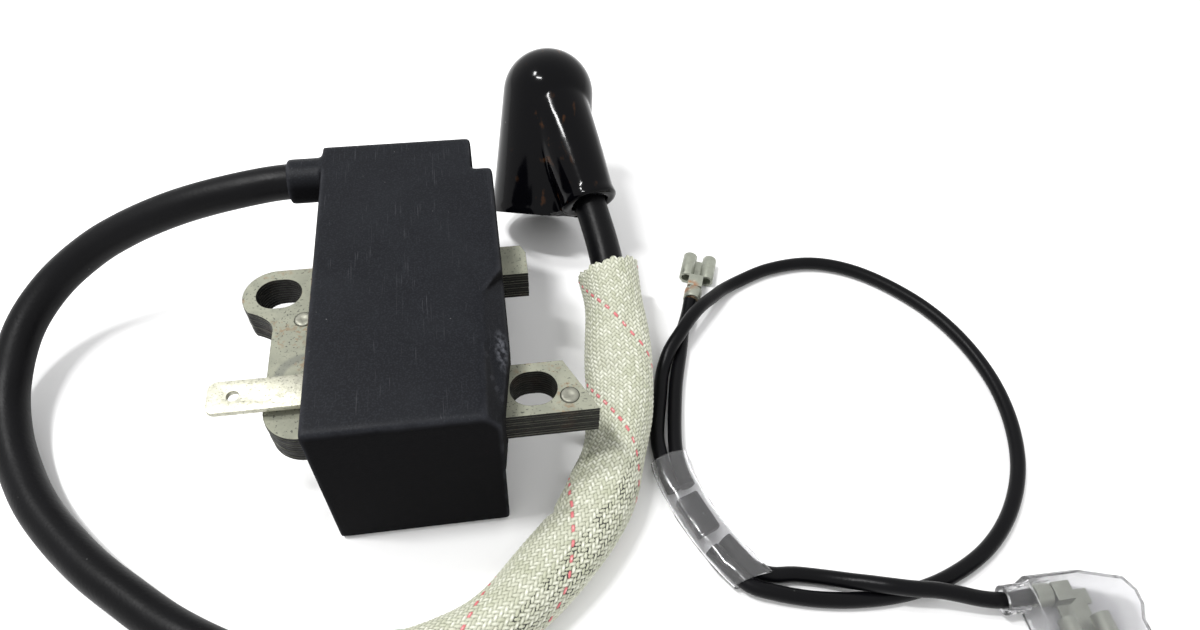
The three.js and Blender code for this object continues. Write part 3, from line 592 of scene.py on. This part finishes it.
def plate_mesh(name, loops, z0, z1, round_edge=0.0):
    """A flat plate from closed outlines: the first is the rim and the others are holes."""
    data = bpy.data.curves.new(name, "CURVE")
    data.dimensions = "2D"
    data.fill_mode = "BOTH"
    data.extrude = (z1 - z0) / 2 - round_edge
    data.bevel_depth = round_edge
    data.bevel_resolution = 1
    data.offset = -round_edge
    for outline in loops:
        spline = data.splines.new("POLY")
        spline.points.add(len(outline) - 1)
        for point, (x, y) in zip(spline.points, outline):
            point.co = (x, y, 0, 1)
        spline.use_cyclic_u = True
    holder = bpy.data.objects.new(name, data)
    scene.collection.objects.link(holder)
    bpy.context.view_layer.update()
    mesh = bpy.data.meshes.new_from_object(holder.evaluated_get(bpy.context.evaluated_depsgraph_get()))
    bpy.data.objects.remove(holder)
    mesh.transform(Matrix.Translation((0, 0, (z0 + z1) / 2)))
    mesh.transform(Matrix.Translation(ORIGIN) @ Matrix.Scale(MM, 4))
    mesh.name = name
    return mesh


def joined(name, meshes):
    bm = bmesh.new()
    for mesh in meshes:
        bm.from_mesh(mesh)
    made = bpy.data.meshes.new(name)
    bm.to_mesh(made)
    bm.free()
    for mesh in meshes:
        bpy.data.meshes.remove(mesh)
    return made


def arc(cx, cy, r, start, stop, steps):
    return [
        (cx + r * math.cos(math.radians(start + (stop - start) * i / steps)),
         cy + r * math.sin(math.radians(start + (stop - start) * i / steps)))
        for i in range(steps + 1)
    ]


# ---------------------------------------------------------------- cords


LEAD_RADIUS = 2.7
WIRE_RADIUS = 1.1
CORD_STEP = 0.9


def round_cord(name, route, radius, body, node, paint, sides=28):
    """A solid round cord; returns the piece and the points of its centreline."""
    def shape(_, a):
        return radius * math.cos(a), radius * math.sin(a)
    made = put(name, tube_mesh(name, route, shape, sides, CORD_STEP), paint, body, [node], 60)
    return made, catmull(route, CORD_STEP)


def wire(name, route, node):
    return round_cord(name, route, WIRE_RADIUS, "stop_lead", node, WIRE)


lead, lead_line = round_cord(
    "ht_lead_cable", LEAD_FULL, LEAD_RADIUS, "module", "ht_lead", CABLE, 40)
tail, tail_line = wire("stop_lead_tail", TAIL, "stop_wire_tail")
loop, loop_line = wire("stop_lead_loop", LOOP, "stop_wire_loop")
end, end_line = wire("stop_lead_end", END, "stop_wire_end")

# ---------------------------------------------------------------- floor and light

floor_mesh = bpy.data.meshes.new("floor")
FLOOR_HALF = 6
FLOOR_LEVEL = -0.0001
corners = ((-1, -1), (1, -1), (1, 1), (-1, 1))
floor_corners = [(x * FLOOR_HALF, y * FLOOR_HALF, FLOOR_LEVEL) for x, y in corners]
floor_mesh.from_pydata(floor_corners, [], [(0, 1, 2, 3)])
floor = bpy.data.objects.new("floor", floor_mesh)
scene.collection.objects.link(floor)
floor_paint = bpy.data.materials.new("floor")
floor_paint.use_nodes = True
floor_shader = floor_paint.node_tree.nodes["Principled BSDF"]
floor_shader.inputs["Base Color"].default_value = (0.9, 0.9, 0.9, 1)
floor_shader.inputs["Roughness"].default_value = 0.7
floor_shader.inputs["Specular IOR Level"].default_value = 0.2
floor_mesh.materials.append(floor_paint)

world = bpy.data.worlds.new("studio")
scene.world = world
world.use_nodes = True
world.node_tree.nodes["Background"].inputs["Color"].default_value = (1, 1, 1, 1)
world.node_tree.nodes["Background"].inputs["Strength"].default_value = 1.05


def lamp(name, place, target, size, power, along):
    """A rectangle at place that faces target, its long side along a direction."""
    data = bpy.data.lights.new(name, "AREA")
    data.shape = "RECTANGLE"
    data.size, data.size_y = size
    data.energy = power
    made = bpy.data.objects.new(name, data)
    scene.collection.objects.link(made)
    back = (at(*place) - at(*target)).normalized()
    side = Vector(along)
    side = (side - back * side.dot(back)).normalized()
    made.location = at(*place)
    made.rotation_mode = "QUATERNION"
    made.rotation_quaternion = Matrix((side, back.cross(side), back)).transposed().to_quaternion()


# Both lamps stand where they give the highlights that the boot shows in the photograph.
lamp("strip_light", (-121, 13, 407), (37, 60, 25), (0.085, 0.022), 1.0, (94, -56, 25))
lamp("dome_light", (-165, 123, 394), (34.2, 66.5, 28.2), (0.06, 0.035), 0.8, (62, 79, -65))

# ---------------------------------------------------------------- case

case = refined("case_moulding", "case_shell", None, "module", 0)
softened = case.modifiers.new("remesh", "REMESH")
softened.mode = "VOXEL"
softened.voxel_size = 0.26 * MM
soft = case.modifiers.new("smooth", "SMOOTH")
soft.factor = 0.5
soft.iterations = 18
applied(case)
case.data.materials.clear()
case.data.materials.append(CASE)
case.data.shade_smooth()
refined("resin_fill", "potting_resin", RESIN, "module", 0.12)

# ---------------------------------------------------------------- laminated core


def core_outline():
    points = [(36.35, 4.2), (32.4, 12.45), (1.65, 12.45), (1.65, 28.75), (29.3, 28.75), (29.3, 33)]
    points += [(28.55, 34.5), (1.65, 34.5), (1.65, 33.2), (-6.03, 33.2)]
    points += arc(-6.43, 28.6, 4.6, 90, 219.6, 22)
    a, b, c = Vector(points[-1]), Vector((-6.55, 24.2)), Vector((-6.35, 22.3))
    for i in range(1, 9):
        t = i / 8
        q = a * (1 - t) ** 2 + b * 2 * t * (1 - t) + c * t * t
        points.append((q.x, q.y))
    points += arc(-1.55, 9, 4.8, 180, 270, 12)
    return points


def slot_outline(x, y):
    return arc(x + 0.5, y, 2.65, -90, 90, 14) + arc(x - 0.5, y, 2.65, 90, 270, 14)


RIVET_RADIUS = 1.22
HIDDEN_RIVET = "leg_rivet"
RIVETS = {"pole_rivet": (32.7, 6.7), "ear_rivet": (-2.3, 23.6), HIDDEN_RIVET: (11.5, 8.3)}
holes = [slot_outline(28.1, 8.35), slot_outline(-6.03, 28.73)]
holes += [arc(x, y, 1.27, 0, 345, 23) for x, y in RIVETS.values()]
SHEETS = 10
LOW, HIGH = 15.07, 20.27
pitch = (HIGH - LOW) / SHEETS
random.seed(5)
layers = []
for i in range(SHEETS):
    dx, dy = random.uniform(-0.035, 0.035), random.uniform(-0.035, 0.035)
    if i in (0, SHEETS - 1):
        dx = dy = 0
    outline = [(x + dx, y + dy) for x, y in core_outline()]
    sheet_top = LOW + (i + 1) * pitch - 0.035
    layers.append(plate_mesh("layer", [outline] + holes, LOW + i * pitch, sheet_top, 0.045))
stack = joined("core_laminations", layers)
put("core_laminations", stack, STEEL, "module", ["laminated_core"], 40)

for name, (x, y) in RIVETS.items():
    if name == HIDDEN_RIVET:
        continue
    profile = [(0, 14.99), (0.9, 14.96), (RIVET_RADIUS, 15.1), (RIVET_RADIUS, 20.26), (1.16, 20.36)]
    profile += [(0.95, 20.42), (0.5, 20.4), (0.3, 20.34), (0, 20.33)]
    peened = turned_mesh(name, profile, (x, y, 0), (0, 0, 1), 40)
    put(name + "_peened", peened, RIVET, "module", [name], 60)

refined("stop_tab_blade", "stop_switch_tab", TIN, "module", 0.12)

# ---------------------------------------------------------------- glass sleeve

SLEEVE_LENGTH = length_of(catmull(SLEEVE, 0.4))
CARRIERS = 48       # yarns in each of the two sets
LAY = 37.6          # how far a yarn runs along the sleeve in one turn
TRACERS = (8, 32)   # the coloured yarns of one set
TURN = 0.146        # how far one set is turned against the other
# Where it bulges or narrows: length, reach, and how far its left and right sides move.
SWELLS = [
    (10, 9, -1.0, -0.5), (22, 8, 0.1, -0.35), (37.5, 5, 0.85, 0),
    (41, 8, 0, -1.15), (58, 4.5, 0.35, 0.2), (70, 5, -0.4, -0.25),
]
# Where it is pressed in: length, angle, depth, and how far that reaches each way.
DENTS = [
    (55.5, 1.85, 0.9, 2.2, 0.5), (45, 2.1, 1.1, 3.2, 0.5), (26, 1.1, 0.6, 5, 0.4),
    (36, 2.3, 0.5, 3, 0.5), (63, 1.2, 0.4, 4, 0.4),
]


def bump_at(value, centre, width):
    return math.exp(-((value - centre) / width) ** 2)


def nearest_length(route, place):
    points = catmull(route, 0.4)
    index = min(range(len(points)), key=lambda i: (points[i] - Vector(place)).length)
    return length_of(points[:index + 1])


DENT = nearest_length(SLEEVE, (33.5, -5, 4.8))


def sleeve_half(s, a):
    """Half width and half height of the sleeve at s millimetres from its hidden end, at angle a."""
    share = (1 + math.cos(a)) / 2
    wide = 5.05
    for place, reach, left, right in SWELLS:
        wide += bump_at(s, place, reach) * (left * (1 - share) + right * share)
    tall = 4.6 - 0.1 * math.sin(s / 7) - 2 * max(0.0, s / SLEEVE_LENGTH - 0.8)
    return wide, tall


def weave_at(s, angle):
    """Height, tracer and tone of a braid of two sets of yarns, each over two and under two."""
    along = (s - SLEEVE_LENGTH) / LAY
    p = CARRIERS * (angle / math.tau + along)
    q = CARRIERS * (angle / math.tau - along + TURN)
    ip, iq = math.floor(p), math.floor(q)
    turn = (ip + iq) % 4
    if turn < 2:
        across, length = p - ip, (turn + q - iq) / 2
    else:
        across, length = q - iq, (turn - 2 + p - ip) / 2
    tall = math.sin(math.pi * across) ** 0.6 * (0.3 + 0.7 * math.sin(math.pi * length) ** 0.7)
    tracer = 1.0 if turn > 1 and iq % CARRIERS in TRACERS else 0.0
    strand = ip * 12.9898 + (iq + 2 - turn) * 78.233 if turn < 2 else iq * 39.346 + (ip + 4 - turn) * 11.135
    tone = math.sin(strand) * 43758.5 % 1
    return tall, tracer, tone


def glass_sleeve():
    points = catmull(SLEEVE, 0.17)
    frames = frames_along(points)
    count = 288
    bm = bmesh.new()
    layer = bm.verts.layers.float_color.new("weave")
    rows = []
    walked = 0.0
    for i, (p, (t, side, up)) in enumerate(zip(points, frames)):
        if i:
            walked += (p - points[i - 1]).length
        last = SLEEVE_LENGTH - walked
        row = []
        for k in range(count):
            a = k / count * math.tau
            h, tracer, tone = weave_at(walked, a)
            wide, tall = sleeve_half(walked, a)
            fold = 0.09 * math.sin(3 * a + walked * 0.21) + 0.06 * math.sin(2 * a - walked * 0.47)
            crease = bump_at(walked, DENT + 1.5 + 2.5 * math.cos(a), 0.9)
            fold -= 0.5 * crease * max(0.0, -math.cos(a + 0.5))
            for place, angle, depth, long, round_ in DENTS:
                fold -= depth * bump_at(walked, place, long) * bump_at(a, angle, round_)
            open_weave = max(0.0, math.cos(a - 0.25)) * bump_at(walked, DENT - 3, 22)
            if h < 0.5 and tone < 0.5 and open_weave > 0.5:
                tone = -1
            lift = 0.26 * h - 0.18 + fold
            if i == 0:
                lift -= 0.25
            x = (wide + lift) * math.cos(a)
            y = (tall + lift) * math.sin(a)
            slack = 0.0
            if last < 7:
                slack += (0.9 * math.cos(a) - 0.3) * (1 - last / 7)
            if last < 0.6:
                slack += 0.2 * math.sin(a * 9 + 1) + 0.16 * math.sin(a * 23)
            q = p + side * x + up * y + t * slack
            q.z = max(q.z, 0.06)
            v = bm.verts.new(at(*q))
            v[layer] = (h, tracer, tone, 1)
            row.append(v)
        rows.append(row)
    for i, (p, (t, side, up)) in reversed(list(enumerate(zip(points, frames)))[::8]):
        near_end = min(i, len(points) - 1 - i) < 8
        row = []
        for k in range(count):
            a = k / count * math.tau
            inner = 3.7 if near_end else 3.4
            v = bm.verts.new(at(*(p + side * inner * math.cos(a) + up * inner * math.sin(a))))
            # The inner wall gets a low height, so the braid's paint covers it with the painted shade of the
            # hollows.
            v[layer] = (0.3, 0, 0.2, 1)
            row.append(v)
        rows.append(row)
    rows.append(rows[0])
    for a, b in zip(rows, rows[1:]):
        for k in range(count):
            n = (k + 1) % count
            bm.faces.new((a[k], a[n], b[n], b[k]))
    bmesh.ops.recalc_face_normals(bm, faces=bm.faces)
    mesh = bpy.data.meshes.new("woven_sleeve")
    bm.to_mesh(mesh)
    bm.free()
    return mesh


sleeve = put("woven_sleeve", glass_sleeve(), GLASS, "module", ["glass_sleeve"], 0)
sleeve.data.shade_smooth()

# ---------------------------------------------------------------- plug boot


def simple(mesh, name):
    made = bpy.data.objects.new(name, mesh)
    scene.collection.objects.link(made)
    return made


def boolean(target, tool, operation):
    mod = target.modifiers.new("boolean", "BOOLEAN")
    mod.operation = operation
    mod.object = tool
    mod.solver = "EXACT"
    applied(target)
    bpy.data.objects.remove(tool)


def hemisphere_profile(r, end):
    """From the pole at -r round to the equator, and on along the [radius, along] pairs of end."""
    steps = 14
    points = [(0, -r)]
    for i in range(1, steps + 1):
        a = math.pi / 2 * i / steps
        points.append((r * math.sin(a), -r * math.cos(a)))
    return points + end


def boot_body():
    long = BODY_LENGTH + 0.9
    end = [(8.1, 7), (8.35, 15), (8.55, BODY_LENGTH - 2.2), (8.6, BODY_LENGTH - 1.4)]
    end += [(8.75, BODY_LENGTH - 0.9), (8.75, long), (0, long)]
    body = simple(turned_mesh("boot", hemisphere_profile(7.9, end), DOME, BODY_AXIS, 80), "boot")
    tube = [(0, -1), (5.85, -1), (5.75, 4), (5.6, 8), (5.35, 13), (5.05, 17), (4.75, TUBE_LENGTH - 2.6)]
    tube += [(4.74, TUBE_LENGTH - 1.7), (4.86, TUBE_LENGTH - 1.1), (4.86, TUBE_LENGTH + 0.9)]
    tube += [(0, TUBE_LENGTH + 0.9)]
    boolean(body, simple(turned_mesh("tube", tube, ROOT, TUBE_AXIS, 72), "tube"), "UNION")
    remesh = body.modifiers.new("remesh", "REMESH")
    remesh.mode = "VOXEL"
    remesh.voxel_size = 0.27 * MM
    smooth = body.modifiers.new("smooth", "SMOOTH")
    smooth.factor = 0.5
    smooth.iterations = 12
    applied(body)
    bore = [(0, 9), (3, 9), (3, TUBE_LENGTH - 0.6), (3.3, TUBE_LENGTH - 0.1), (3.7, TUBE_LENGTH)]
    bore += [(4.1, TUBE_LENGTH), (4.5, TUBE_LENGTH - 0.15), (4.75, TUBE_LENGTH - 0.4)]
    bore += [(5.1, TUBE_LENGTH - 1), (7, TUBE_LENGTH - 1), (7, TUBE_LENGTH + 3), (0, TUBE_LENGTH + 3)]
    boolean(body, simple(turned_mesh("bore", bore, ROOT, TUBE_AXIS, 64), "bore"), "DIFFERENCE")
    chamber = [(0, 6.8), (4.7, 6.8), (4.7, 14.4), (6.5, 15.2), (6.5, BODY_LENGTH - 0.4), (6.9, BODY_LENGTH)]
    chamber += [(9.2, BODY_LENGTH), (9.2, BODY_LENGTH + 3), (0, BODY_LENGTH + 3)]
    boolean(body, simple(turned_mesh("chamber", chamber, DOME, BODY_AXIS, 72), "chamber"), "DIFFERENCE")
    return body


boot = boot_body()
boot.name = "boot_moulding"
boot.data.materials.clear()
boot.data.materials.append(BOOT)
boot.data.shade_smooth()
boot.data.set_sharp_from_angle(angle=math.radians(38))
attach(boot, "plug_boot")
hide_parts("plug_boot")

# ---------------------------------------------------------------- clear splice sleeve


def splice_tube():
    bm = bmesh.new()
    points = catmull(SPLICE, 0.5)
    frames = frames_along(points)
    count = 56
    rows = []

    def ring_at(index, wide, tall, f):
        p, (t, side, up) = points[index], frames[index]
        row = []
        for k in range(count):
            a = k / count * math.tau
            slack = 0.5 * (1 - f) ** 3 * math.cos(a) + 1.2 * f ** 3 * (1 - math.cos(a))
            place = p + side * wide * math.cos(a) + up * tall * math.sin(a) + t * slack
            row.append(bm.verts.new(at(*place)))
        rows.append(row)

    total = len(points)
    for i in range(total):
        f = i / (total - 1)
        swell = 0.05 * math.sin(f * 17) + 0.04 * math.sin(f * 31 + 1)
        ridge = 0.22 * bump_at(f, 0.66, 0.018)
        ring_at(i, 2.86 + swell, 1.6 - 0.5 * swell + ridge, f)
    for i in reversed(range(total)):
        f = i / (total - 1)
        ring_at(i, 2.62, 1.34, f)
    rows.append(rows[0])
    for a, b in zip(rows, rows[1:]):
        for k in range(count):
            n = (k + 1) % count
            bm.faces.new((a[k], a[n], b[n], b[k]))
    bmesh.ops.recalc_face_normals(bm, faces=bm.faces)
    mesh = bpy.data.meshes.new("splice_tube")
    bm.to_mesh(mesh)
    bm.free()
    return mesh


clear_sleeve = put("splice_tube", splice_tube(), CLEAR, "stop_lead", ["splice_sleeve"], 50)
ferrule = refined("splice_ferrule", "splice_crimp", FERRULE, "stop_lead", 0.4, segments=4)

# ---------------------------------------------------------------- terminals

receptacle = refined("push_on_receptacle", "tab_receptacle", TERMINAL, "stop_lead", 0.05)
flag = refined("flag_receptacle", "flag_terminal", TERMINAL, "stop_lead", 0.05)
cover = refined("flag_housing", "flag_cover", CLEAR, "stop_lead", 0.25)

# ---------------------------------------------------------------- pieces that keep their CAD shape

KEPT = {
    "primary_bobbin": BOBBIN, "secondary_bobbin": BOBBIN, "primary_winding": WINDING,
    "ht_contact_pin": BRASS, "circuit_board": BOARD, "trigger_thyristor": CHIP,
    "switching_transistor": CHIP, "diode": CHIP, "resistor": RESISTOR, "earth_strap": TIN,
    "leg_rivet": RIVET, "spring_terminal": TIN,
}
KEPT.update({f"secondary_winding_{i}": WINDING for i in range(1, 5)})
for node, paint in KEPT.items():
    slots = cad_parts[node].material_slots
    for one in slots:
        one.material = paint

# ---------------------------------------------------------------- last update of the scene


bpy.context.view_layer.update()
